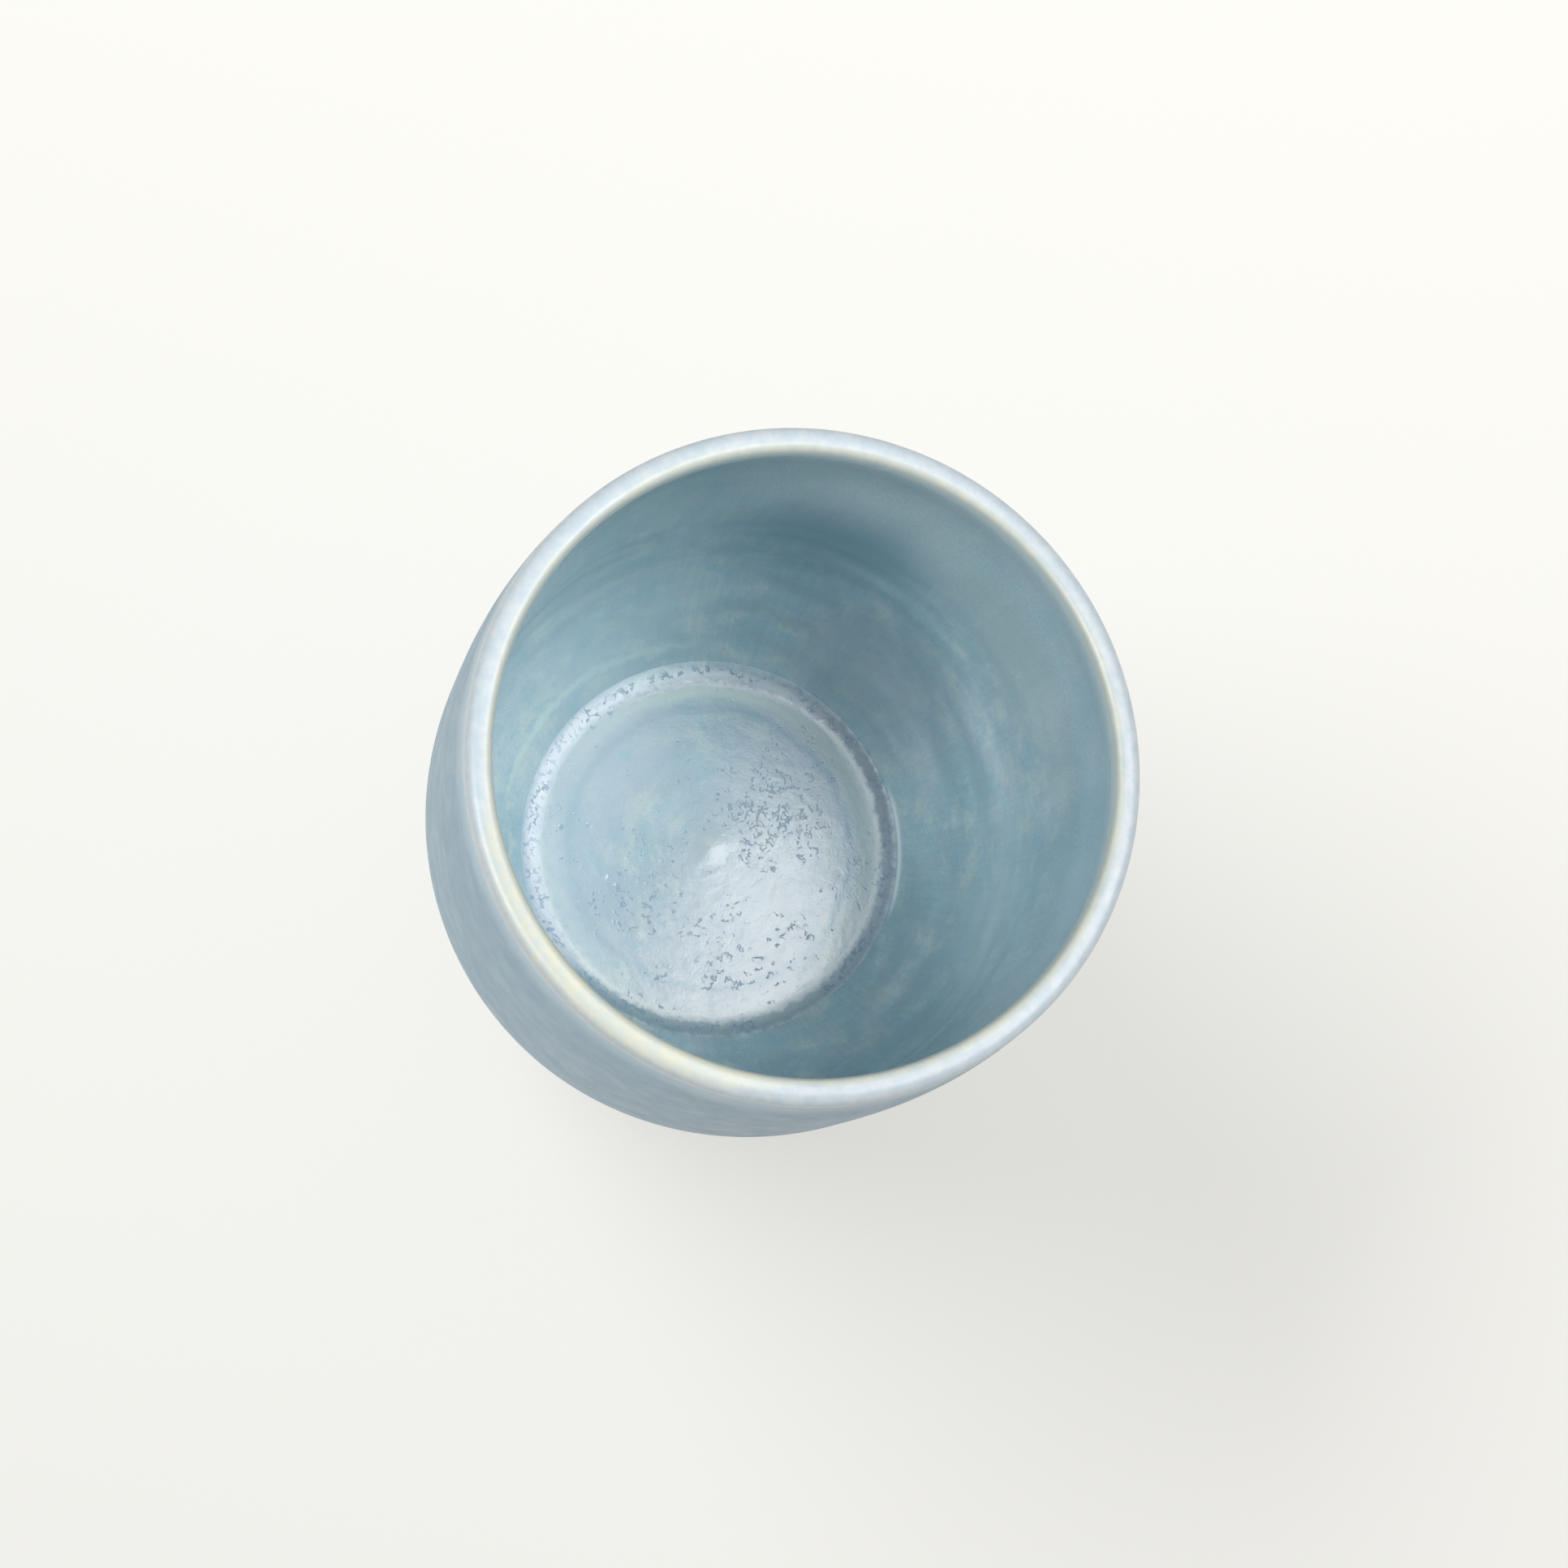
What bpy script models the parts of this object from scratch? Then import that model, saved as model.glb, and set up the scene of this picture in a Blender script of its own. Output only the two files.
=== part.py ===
"""A handleless cup, thrown in stoneware, with a liner glaze inside and a second coat of glaze outside.

Metres, +Z up. The origin is the centre of the foot ring's flat underside, and Z is the wheel's axis.
"""

import math

import bpy
from mathutils import Vector
from mathutils.geometry import interpolate_bezier

# Clay body: overall sizes
CUP_HEIGHT = 0.0834
MOUTH_RADIUS = 0.0419
BELLY_RADIUS = 0.0432
BELLY_HEIGHT = 0.0410
WALL = 0.0025

# Lip: a half ellipse in section, with the wall leaning out a little below it
LIP_THICKNESS = 0.0022
LIP_ROUND = 0.0014
SHOULDER_LEAN = 0.0016

# Foot ring, trimmed on the wheel once the clay is firm
FOOT_RADIUS = 0.0290
FOOT_HEIGHT = 0.0032
FOOT_TAPER = 0.0004
FOOT_RING_WIDTH = 0.0048
FOOT_EDGE = 0.0007
FOOT_RECESS = 0.0028

# Floor inside: a low cone with a pip in the middle, ringed by a cove that sweeps up to where the wall springs
FLOOR_THICKNESS = 0.0045
FLOOR_RADIUS = 0.0282
FLOOR_RISE = 0.0005
PIP_RADIUS = 0.0030
PIP_HEIGHT = 0.00012
COVE_WIDTH = 0.0034
COVE_LIFT = 0.0007

# Finger rings left inside by throwing, from the cove up to the belly
THROWING_RINGS = 5
RING_DEPTH = 0.00022

# Glaze: the gap parts a coat from the clay, and one coat from the other at their seam on the lip
GLAZE_THICKNESS = 0.00045
GLAZE_GAP = 0.00015
LIP_WRAP = 0.0024
GLAZE_LINE = 0.0048

# How far each curve keeps its first direction, as a share of its own rise or spread
LOWER_FULLNESS = 0.58
LOWER_SPREAD = 0.53
LOWER_LIFT = 0.145
INNER_FULLNESS = 0.62
INNER_SPREAD = 0.48
INNER_LIFT = 0.15
UPPER_FULLNESS = 0.34

# Facets
TURN_STEPS = 36
RING_STEPS = 4
PIP_STEPS = 3
COVE_STEPS = 8
UPPER_INNER_STEPS = 5
UPPER_OUTER_STEPS = 6
LOWER_OUTER_STEPS = 9
LIP_STEPS = 6
EDGE_STEPS = 2
AXIS_MERGE = 0.00001

FLOOR_TOP = FOOT_RECESS + FLOOR_THICKNESS
WALL_SPRING = FLOOR_TOP + COVE_LIFT
LIP_HEIGHT = CUP_HEIGHT - LIP_ROUND
INNER_BELLY = BELLY_RADIUS - WALL
INNER_MOUTH = MOUTH_RADIUS - LIP_THICKNESS


def point(radius, height):
    """A place on a profile, which is drawn in the half plane of radius and height."""
    return Vector((radius, height))


def arc(centre, wide, tall, first, last, steps):
    """Points along an ellipse, between two angles in degrees."""
    turns = [math.radians(first + (last - first) * step / steps) for step in range(steps + 1)]
    return [centre + point(wide * math.cos(turn), tall * math.sin(turn)) for turn in turns]


def swell(share):
    """A smooth rise and fall: 0 at both ends of its width and 1 in the middle."""
    return 0.5 - 0.5 * math.cos(2 * math.pi * share)


def sideways(profile, index):
    """The direction across a profile at one of its points, away from the clay."""
    if profile[index].x == 0:
        return point(0, 1)
    before = profile[max(index - 1, 0)]
    after = profile[min(index + 1, len(profile) - 1)]
    along = (after - before).normalized()
    return point(-along.y, along.x)


def offset(profile, distance):
    """A profile moved away from the clay by a distance."""
    return [place + distance * sideways(profile, index) for index, place in enumerate(profile)]


def crossing(profile, height):
    """Where a falling profile passes a height."""
    for upper, lower in zip(profile, profile[1:]):
        if upper.y >= height > lower.y:
            return upper.lerp(lower, (upper.y - height) / (upper.y - lower.y))
    raise ValueError(f"the profile never passes {height}")


def above(profile, height):
    """The part of a falling profile down to a height."""
    return [place for place in profile if place.y > height] + [crossing(profile, height)]


def below(profile, height):
    """The part of a falling profile from a height down."""
    return [crossing(profile, height)] + [place for place in profile if place.y < height]


def floor_profile():
    """The inside floor, from the axis out to where the wall springs."""
    cove_start = FLOOR_RADIUS - COVE_WIDTH
    profile = []
    for step in range(PIP_STEPS + 1):
        share = step / PIP_STEPS
        radius = PIP_RADIUS * share
        cone = FLOOR_RISE * (1 - radius / cove_start)
        pip = PIP_HEIGHT * swell(0.5 + share / 2)
        profile.append(point(radius, FLOOR_TOP + cone + pip))
    for step in range(COVE_STEPS):
        share = step / COVE_STEPS
        profile.append(point(cove_start + COVE_WIDTH * share, FLOOR_TOP + COVE_LIFT * share**2))
    return profile


def inner_wall_profile():
    """The inside wall, from the floor up to the lip, with the finger rings on its lower half."""
    rise = BELLY_HEIGHT - WALL_SPRING
    spread = INNER_BELLY - FLOOR_RADIUS
    lower = interpolate_bezier(
        point(FLOOR_RADIUS, WALL_SPRING),
        point(FLOOR_RADIUS + INNER_SPREAD * spread, WALL_SPRING + INNER_LIFT * rise),
        point(INNER_BELLY, BELLY_HEIGHT - INNER_FULLNESS * rise),
        point(INNER_BELLY, BELLY_HEIGHT),
        THROWING_RINGS * RING_STEPS + 1,
    )
    ringed = []
    for index, place in enumerate(lower):
        hollow = RING_DEPTH * swell(index / RING_STEPS)
        ringed.append(place - hollow * sideways(lower, index))
    climb = LIP_HEIGHT - BELLY_HEIGHT
    upper = interpolate_bezier(
        point(INNER_BELLY, BELLY_HEIGHT),
        point(INNER_BELLY, BELLY_HEIGHT + UPPER_FULLNESS * climb),
        point(INNER_MOUTH + SHOULDER_LEAN, LIP_HEIGHT - UPPER_FULLNESS * climb),
        point(INNER_MOUTH, LIP_HEIGHT),
        UPPER_INNER_STEPS + 1,
    )
    return ringed + upper[1:-1]


def lip_profile():
    """The rounded lip, from its inner edge over the crest to its outer edge."""
    centre = point(MOUTH_RADIUS - LIP_THICKNESS / 2, LIP_HEIGHT)
    return arc(centre, LIP_THICKNESS / 2, LIP_ROUND, 180, 0, LIP_STEPS)


def outer_wall_profile():
    """The outside wall below the lip, down to the foot ring."""
    climb = LIP_HEIGHT - BELLY_HEIGHT
    upper = interpolate_bezier(
        point(MOUTH_RADIUS, LIP_HEIGHT),
        point(MOUTH_RADIUS + SHOULDER_LEAN, LIP_HEIGHT - UPPER_FULLNESS * climb),
        point(BELLY_RADIUS, BELLY_HEIGHT + UPPER_FULLNESS * climb),
        point(BELLY_RADIUS, BELLY_HEIGHT),
        UPPER_OUTER_STEPS + 1,
    )
    drop = BELLY_HEIGHT - FOOT_HEIGHT
    spread = BELLY_RADIUS - FOOT_RADIUS
    lower = interpolate_bezier(
        point(BELLY_RADIUS, BELLY_HEIGHT),
        point(BELLY_RADIUS, BELLY_HEIGHT - LOWER_FULLNESS * drop),
        point(FOOT_RADIUS + LOWER_SPREAD * spread, FOOT_HEIGHT + LOWER_LIFT * drop),
        point(FOOT_RADIUS, FOOT_HEIGHT),
        LOWER_OUTER_STEPS + 1,
    )
    return upper[1:] + lower[1:]


def foot_profile():
    """The foot ring and the recess inside it, ending on the axis."""
    outer = FOOT_RADIUS - FOOT_TAPER
    inner = FOOT_RADIUS - FOOT_RING_WIDTH
    outer_edge = arc(point(outer - FOOT_EDGE, FOOT_EDGE), FOOT_EDGE, FOOT_EDGE, 0, -90, EDGE_STEPS)
    inner_edge = arc(point(inner + FOOT_EDGE, FOOT_EDGE), FOOT_EDGE, FOOT_EDGE, -90, -180, EDGE_STEPS)
    corner = arc(point(inner - FOOT_EDGE, FOOT_RECESS - FOOT_EDGE), FOOT_EDGE, FOOT_EDGE, 0, 90, EDGE_STEPS)
    return outer_edge + inner_edge + corner + [point(0, FOOT_RECESS)]


def coat(backing):
    """The closed section of a glaze coat over a stretch of clay: its face, then its back."""
    face = offset(backing, GLAZE_GAP + GLAZE_THICKNESS)
    back = offset(backing, GLAZE_GAP)
    return face + back[::-1]


def finish(name, colour, roughness):
    """A material with one colour and roughness."""
    material = bpy.data.materials.new(name)
    material.use_nodes = True
    shader = material.node_tree.nodes["Principled BSDF"]
    shader.inputs["Base Color"].default_value = (*colour, 1)
    shader.inputs["Roughness"].default_value = roughness
    shader.inputs["Metallic"].default_value = 0
    return material


def turned(collection, name, profile, material):
    """A solid turned about Z. A profile that starts on the axis also ends there; any other is a loop."""
    count = len(profile)
    edges = [(index, index + 1) for index in range(count - 1)]
    if profile[0].x > 0:
        edges.append((count - 1, 0))
    mesh = bpy.data.meshes.new(name)
    mesh.from_pydata([(place.x, 0, place.y) for place in profile], edges, [])
    mesh.materials.append(material)
    piece = bpy.data.objects.new(name, mesh)
    collection.objects.link(piece)
    screw = piece.modifiers.new("turn", "SCREW")
    screw.axis = "Z"
    screw.angle = 2 * math.pi
    screw.steps = TURN_STEPS
    screw.render_steps = TURN_STEPS
    screw.use_merge_vertices = True
    screw.merge_threshold = AXIS_MERGE
    screw.use_smooth_shade = True


for old in list(bpy.data.objects):
    bpy.data.objects.remove(old, do_unlink=True)
cup = bpy.data.collections.new("handleless_cup")
bpy.context.scene.collection.children.link(cup)

stoneware = finish("bare_stoneware", (0.56, 0.47, 0.37), 0.85)
liner = finish("liner_glaze", (0.34, 0.47, 0.53), 0.35)
outside = finish("outer_glaze", (0.36, 0.46, 0.51), 0.42)

# The clay body: inside, lip, outside and foot in one turned profile
inside_face = floor_profile() + inner_wall_profile()
lip = lip_profile()
outside_face = outer_wall_profile()
turned(cup, "stoneware_body", inside_face + lip + outside_face + foot_profile(), stoneware)

# The liner covers the inside and comes over the lip, and the outer coat starts at its edge
crest = LIP_STEPS // 2
falling = lip[crest:] + outside_face
seam_height = CUP_HEIGHT - LIP_WRAP
turned(cup, "liner_glaze", coat(inside_face + lip[:crest] + above(falling, seam_height)), liner)
turned(cup, "outer_glaze", coat(above(below(falling, seam_height - GLAZE_GAP), GLAZE_LINE)), outside)
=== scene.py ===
"""The looks of a handleless cup: thrown stoneware, a liner glaze inside and a satin glaze outside.

Metres, +Z up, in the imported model's own frame. The origin is the centre of the foot ring's flat underside.
"""

import math

import bpy
from mathutils import Matrix, Vector
from mathutils.geometry import interpolate_bezier


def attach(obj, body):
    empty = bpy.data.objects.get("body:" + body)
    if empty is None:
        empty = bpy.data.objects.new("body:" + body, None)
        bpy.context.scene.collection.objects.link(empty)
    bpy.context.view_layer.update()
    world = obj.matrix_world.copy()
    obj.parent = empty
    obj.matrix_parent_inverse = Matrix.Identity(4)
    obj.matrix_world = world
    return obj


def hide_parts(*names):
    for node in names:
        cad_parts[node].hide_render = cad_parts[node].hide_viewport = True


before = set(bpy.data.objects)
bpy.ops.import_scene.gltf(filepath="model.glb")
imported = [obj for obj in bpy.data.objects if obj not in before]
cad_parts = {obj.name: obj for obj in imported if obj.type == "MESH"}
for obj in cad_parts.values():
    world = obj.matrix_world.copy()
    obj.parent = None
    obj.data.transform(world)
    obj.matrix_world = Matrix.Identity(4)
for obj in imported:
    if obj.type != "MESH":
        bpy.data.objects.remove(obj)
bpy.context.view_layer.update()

# Clay body
# Buff stoneware, thrown on the wheel in one piece and trimmed upside down when leather hard, which cuts the
# foot ring. It carries both glazes, and shows bare only on the foot ring and inside it.
CUP_HEIGHT = 0.0834
MOUTH_RADIUS = 0.0419
BELLY_RADIUS = 0.0432
BELLY_HEIGHT = 0.0410
WALL = 0.0025
LIP_THICKNESS = 0.0022
LIP_ROUND = 0.0014
LIP_CREST = 0.36
LIP_SQUARE = 0.68
SHOULDER_LEAN = 0.0016
FOOT_RADIUS = 0.0290
FOOT_HEIGHT = 0.0032
FOOT_TAPER = 0.0004
FOOT_RING_WIDTH = 0.0048
FOOT_EDGE = 0.0007
FOOT_RECESS = 0.0028
FLOOR_TOP = 0.0073
FLOOR_RADIUS = 0.0282
FLOOR_RISE = 0.0005
PIP_RADIUS = 0.0030
PIP_HEIGHT = 0.00008
COVE_WIDTH = 0.0034
COVE_LIFT = 0.0007
FLOOR_FALL = 0.00001
FALL_WIDTH = 0.0006
INNER_FULLNESS = 0.62
INNER_SPREAD = 0.48
INNER_LIFT = 0.15
LOWER_FULLNESS = 0.58
LOWER_SPREAD = 0.53
LOWER_LIFT = 0.145
UPPER_FULLNESS = 0.34
LIP_HEIGHT = CUP_HEIGHT - LIP_ROUND
COVE_START = FLOOR_RADIUS - COVE_WIDTH
WALL_SPRING = FLOOR_TOP + COVE_LIFT
WHEEL_WOBBLE = 0.00012
STEPS_ROUND = 384
CLAY_STEPS_ROUND = 256
CLAY_SKIP = 2
WELD_DISTANCE = 1e-6
SHARP_ANGLE = math.radians(50)


def point(radius, height):
    """A place on a section, which is drawn in the half plane of radius and height."""
    return Vector((radius, height))


def arc(centre, wide, tall, first, last, steps):
    """Points along an ellipse, between two angles in degrees."""
    turns = [math.radians(first + (last - first) * step / steps) for step in range(steps + 1)]
    return [centre + point(wide * math.cos(turn), tall * math.sin(turn)) for turn in turns]


def swell(share):
    """A smooth rise and fall: 0 at both ends of its width and 1 in the middle."""
    return 0.5 - 0.5 * math.cos(2 * math.pi * share)


def floor_section():
    """The inside floor from the axis: the pip, the low cone, and the cove that sweeps up to the wall."""
    section = []
    pip_steps, cone_steps, cove_steps = 8, 32, 24
    crowding = 1.7
    spread = COVE_START - PIP_RADIUS
    radii = [PIP_RADIUS * step / pip_steps for step in range(pip_steps)]
    radii += [COVE_START - spread * (1 - step / cone_steps) ** crowding for step in range(cone_steps)]
    radii += [COVE_START + COVE_WIDTH * step / cove_steps for step in range(cove_steps)]
    for radius in radii:
        cone = FLOOR_RISE * max(0, 1 - radius / COVE_START)
        cove = (COVE_LIFT + FLOOR_FALL) * max(0, (radius - COVE_START) / COVE_WIDTH) ** 2
        pip = PIP_HEIGHT * swell(0.5 + min(1, radius / PIP_RADIUS) / 2)
        fall = FLOOR_FALL * max(0, min(1, (radius - COVE_START) / FALL_WIDTH + 1)) ** 2
        section.append(point(radius, FLOOR_TOP + cone + cove + pip - fall))
    return section


def inner_wall_section():
    """The inside wall, from the cove up to the lip."""
    inner_belly = BELLY_RADIUS - WALL
    inner_mouth = MOUTH_RADIUS - LIP_THICKNESS
    rise = BELLY_HEIGHT - WALL_SPRING
    spread = inner_belly - FLOOR_RADIUS
    climb = LIP_HEIGHT - BELLY_HEIGHT
    lower_points, upper_points = 52, 34
    lower = interpolate_bezier(
        point(FLOOR_RADIUS, WALL_SPRING),
        point(FLOOR_RADIUS + INNER_SPREAD * spread, WALL_SPRING + INNER_LIFT * rise),
        point(inner_belly, BELLY_HEIGHT - INNER_FULLNESS * rise),
        point(inner_belly, BELLY_HEIGHT),
        lower_points,
    )
    upper = interpolate_bezier(
        point(inner_belly, BELLY_HEIGHT),
        point(inner_belly, BELLY_HEIGHT + UPPER_FULLNESS * climb),
        point(inner_mouth + SHOULDER_LEAN, LIP_HEIGHT - UPPER_FULLNESS * climb),
        point(inner_mouth, LIP_HEIGHT),
        upper_points,
    )
    return lower + upper[1:-1]


def lip_section():
    """The lip from its inner edge to its outer edge: nearly flat on top, with a tight turn each side."""
    inner, outer = LIP_CREST * LIP_THICKNESS, (1 - LIP_CREST) * LIP_THICKNESS
    crest = point(MOUTH_RADIUS - outer, LIP_HEIGHT)
    section = []
    steps = 40
    for step in range(steps + 1):
        turn = math.pi * step / steps
        across = -math.copysign(abs(math.cos(turn)) ** LIP_SQUARE, math.cos(turn))
        up = abs(math.sin(turn)) ** LIP_SQUARE
        section.append(crest + point((inner if across < 0 else outer) * across, LIP_ROUND * up))
    return section


def outer_wall_section():
    """The outside wall below the lip, down to the foot ring."""
    climb = LIP_HEIGHT - BELLY_HEIGHT
    drop = BELLY_HEIGHT - FOOT_HEIGHT
    spread = BELLY_RADIUS - FOOT_RADIUS
    upper_points, lower_points = 32, 48
    upper = interpolate_bezier(
        point(MOUTH_RADIUS, LIP_HEIGHT),
        point(MOUTH_RADIUS + SHOULDER_LEAN, LIP_HEIGHT - UPPER_FULLNESS * climb),
        point(BELLY_RADIUS, BELLY_HEIGHT + UPPER_FULLNESS * climb),
        point(BELLY_RADIUS, BELLY_HEIGHT),
        upper_points,
    )
    lower = interpolate_bezier(
        point(BELLY_RADIUS, BELLY_HEIGHT),
        point(BELLY_RADIUS, BELLY_HEIGHT - LOWER_FULLNESS * drop),
        point(FOOT_RADIUS + LOWER_SPREAD * spread, FOOT_HEIGHT + LOWER_LIFT * drop),
        point(FOOT_RADIUS, FOOT_HEIGHT),
        lower_points,
    )
    return upper[1:] + lower[1:]


def foot_section():
    """The foot ring and the recess inside it, with its turned lines, ending on the axis."""
    outer = FOOT_RADIUS - FOOT_TAPER
    inner = FOOT_RADIUS - FOOT_RING_WIDTH
    edge_steps = 8
    corner = point(inner - FOOT_EDGE, FOOT_RECESS - FOOT_EDGE)
    section = arc(point(outer - FOOT_EDGE, FOOT_EDGE), FOOT_EDGE, FOOT_EDGE, 0, -90, edge_steps)
    section += arc(point(inner + FOOT_EDGE, FOOT_EDGE), FOOT_EDGE, FOOT_EDGE, -90, -180, edge_steps)
    section += arc(corner, FOOT_EDGE, FOOT_EDGE, 0, 90, edge_steps)
    start = inner - FOOT_EDGE
    lines, line_depth, line_steps = 9, 0.00008, 6
    for step in range(1, lines * line_steps):
        share = step / (lines * line_steps)
        section.append(point(start * (1 - share), FOOT_RECESS + line_depth * swell(share * lines)))
    return section + [point(0, FOOT_RECESS)]


def sideways(section, index):
    """The direction across a section at one of its points, away from the clay."""
    if section[index].x == 0:
        return point(0, 1 if index == 0 else -1)
    before = section[max(index - 1, 0)]
    after = section[min(index + 1, len(section) - 1)]
    along = (after - before).normalized()
    return point(-along.y, along.x)


def add(tree, kind, inputs=None, **settings):
    """A node, with each of its inputs linked to a socket or set to a value."""
    node = tree.nodes.new(kind)
    for name, value in settings.items():
        setattr(node, name, value)
    for name, value in (inputs or {}).items():
        if isinstance(value, bpy.types.NodeSocket):
            tree.links.new(value, node.inputs[name])
        else:
            node.inputs[name].default_value = value
    return node


def calc(tree, operation, *values):
    """The result of a sum on up to three numbers."""
    return add(tree, "ShaderNodeMath", dict(enumerate(values)), operation=operation).outputs[0]


def vector_calc(tree, operation, *values):
    """The result of a sum on one or two vectors, which is a number for a length, distance or dot product."""
    node = add(tree, "ShaderNodeVectorMath", dict(enumerate(values)), operation=operation)
    return node.outputs["Value" if operation in ("LENGTH", "DISTANCE", "DOT_PRODUCT") else "Vector"]


def sockets(tree, direction, kinds):
    """Named sockets on the face of a node group."""
    for name, kind in kinds.items():
        tree.interface.new_socket(name, in_out=direction, socket_type="NodeSocket" + kind)


def wheel():
    """Geometry nodes that turn a section about Z, with the wheel's wobble and the spiral of the fingers."""
    tree = bpy.data.node_groups.new("turned_on_the_wheel", "GeometryNodeTree")
    given = {
        "Section": "Geometry",
        "Steps Round": "Int",
        "Wobble": "Float",
        "Finger Depth": "Float",
        "Finger Pitch": "Float",
        "Edge Wander": "Float",
        "Seed": "Float",
        "Finish": "Material",
    }
    sockets(tree, "INPUT", given)
    sockets(tree, "OUTPUT", {"Piece": "Geometry"})
    given = tree.nodes.new("NodeGroupInput").outputs
    size = add(tree, "GeometryNodeAttributeDomainSize", {"Geometry": given["Section"]})
    stations = calc(tree, "ADD", given["Steps Round"], 1)
    grid = add(
        tree,
        "GeometryNodeMeshGrid",
        {"Size X": 1, "Size Y": 1, "Vertices X": size.outputs["Point Count"], "Vertices Y": stations},
    )
    index = add(tree, "GeometryNodeInputIndex").outputs["Index"]
    row = calc(tree, "FLOOR", calc(tree, "DIVIDE", index, stations))
    station = calc(tree, "SUBTRACT", index, calc(tree, "MULTIPLY", row, stations))
    turn = calc(tree, "MULTIPLY", calc(tree, "DIVIDE", station, given["Steps Round"]), 2 * math.pi)

    def on_section(value, kind):
        """A value of the section, at each point of the turned surface."""
        sample = add(
            tree,
            "GeometryNodeSampleIndex",
            {"Geometry": given["Section"], "Value": value, "Index": row},
            data_type=kind,
            domain="POINT",
        )
        return sample.outputs["Value"]

    def mark(name, kind="FLOAT"):
        """A named value of the section, at each point of the turned surface."""
        named = add(tree, "GeometryNodeInputNamedAttribute", {"Name": name}, data_type=kind)
        return on_section(named.outputs["Attribute"], kind)

    place = on_section(add(tree, "GeometryNodeInputPosition").outputs["Position"], "FLOAT_VECTOR")
    place = add(tree, "ShaderNodeSeparateXYZ", {"Vector": place}).outputs
    across = mark("across", "FLOAT_VECTOR")
    across = add(tree, "ShaderNodeSeparateXYZ", {"Vector": across}).outputs
    cosine = calc(tree, "COSINE", turn)
    sine = calc(tree, "SINE", turn)

    def wander(scale, reach, seed_step, rise=1):
        """A slow drift that differs round the cup, and up it where rise is large, as an amount either way."""
        level = calc(tree, "MULTIPLY", place["Z"], rise)
        at = add(tree, "ShaderNodeCombineXYZ", {"X": cosine, "Y": sine, "Z": level})
        drift = add(
            tree,
            "ShaderNodeTexNoise",
            {
                "Vector": at.outputs["Vector"],
                "W": calc(tree, "ADD", given["Seed"], seed_step),
                "Scale": scale,
                "Detail": 1,
            },
            noise_dimensions="4D",
        )
        share = calc(tree, "MULTIPLY", calc(tree, "SUBTRACT", drift.outputs[0], 0.5), 2)
        return calc(tree, "MULTIPLY", share, reach)

    along = calc(tree, "MULTIPLY", calc(tree, "DIVIDE", mark("run"), given["Finger Pitch"]), 2 * math.pi)
    along = calc(tree, "ADD", along, turn)
    along = calc(tree, "ADD", along, wander(scale=2.5, reach=2.2, seed_step=3, rise=40))
    furrow = calc(tree, "MULTIPLY", calc(tree, "SUBTRACT", calc(tree, "COSINE", along), 1), 0.5)
    press = calc(tree, "ADD", wander(scale=1.6, reach=1.6, seed_step=5, rise=60), 0.5)
    press = calc(tree, "MAXIMUM", press, 0.1)
    furrow = calc(tree, "MULTIPLY", furrow, calc(tree, "MULTIPLY", press, mark("fingers")))
    sunk = calc(tree, "MULTIPLY", furrow, -1)
    furrow = calc(tree, "MULTIPLY", furrow, given["Finger Depth"])
    round_share = calc(tree, "MINIMUM", calc(tree, "MULTIPLY", place["X"], 50), 1)
    wobble = wander(scale=1.1, reach=given["Wobble"], seed_step=0)
    wobble = calc(tree, "MULTIPLY", wobble, round_share)
    radius = calc(tree, "MULTIPLY_ADD", across["X"], furrow, calc(tree, "ADD", place["X"], wobble))
    height = calc(tree, "MULTIPLY_ADD", across["Z"], furrow, place["Z"])
    edge = wander(scale=2.2, reach=given["Edge Wander"], seed_step=7)
    height = calc(tree, "MULTIPLY_ADD", mark("edge"), edge, height)
    turned = add(
        tree,
        "ShaderNodeCombineXYZ",
        {
            "X": calc(tree, "MULTIPLY", radius, cosine),
            "Y": calc(tree, "MULTIPLY", radius, sine),
            "Z": height,
        },
    )
    piece = grid.outputs["Mesh"]
    kept = {name: mark(name) for name in ("run", "flow", "thin", "pool", "flat")}
    for name, value in {**kept, "furrow": sunk}.items():
        piece = add(
            tree,
            "GeometryNodeStoreNamedAttribute",
            {"Geometry": piece, "Name": name, "Value": value},
            data_type="FLOAT",
            domain="POINT",
        ).outputs["Geometry"]
    piece = add(tree, "GeometryNodeSetPosition", {"Geometry": piece, "Position": turned.outputs["Vector"]})
    piece = add(
        tree,
        "GeometryNodeMergeByDistance",
        {"Geometry": piece.outputs["Geometry"], "Distance": WELD_DISTANCE},
    )
    piece = add(tree, "GeometryNodeSetShadeSmooth", {"Geometry": piece.outputs["Geometry"]})
    piece = add(tree, "GeometryNodeRealizeInstances", {"Geometry": piece.outputs["Geometry"]})
    piece = add(
        tree,
        "GeometryNodeSetMaterial",
        {"Geometry": piece.outputs["Geometry"], "Material": given["Finish"]},
    )
    tree.links.new(piece.outputs["Geometry"], tree.nodes.new("NodeGroupOutput").inputs["Piece"])
    return tree


WHEEL = wheel()


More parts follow.
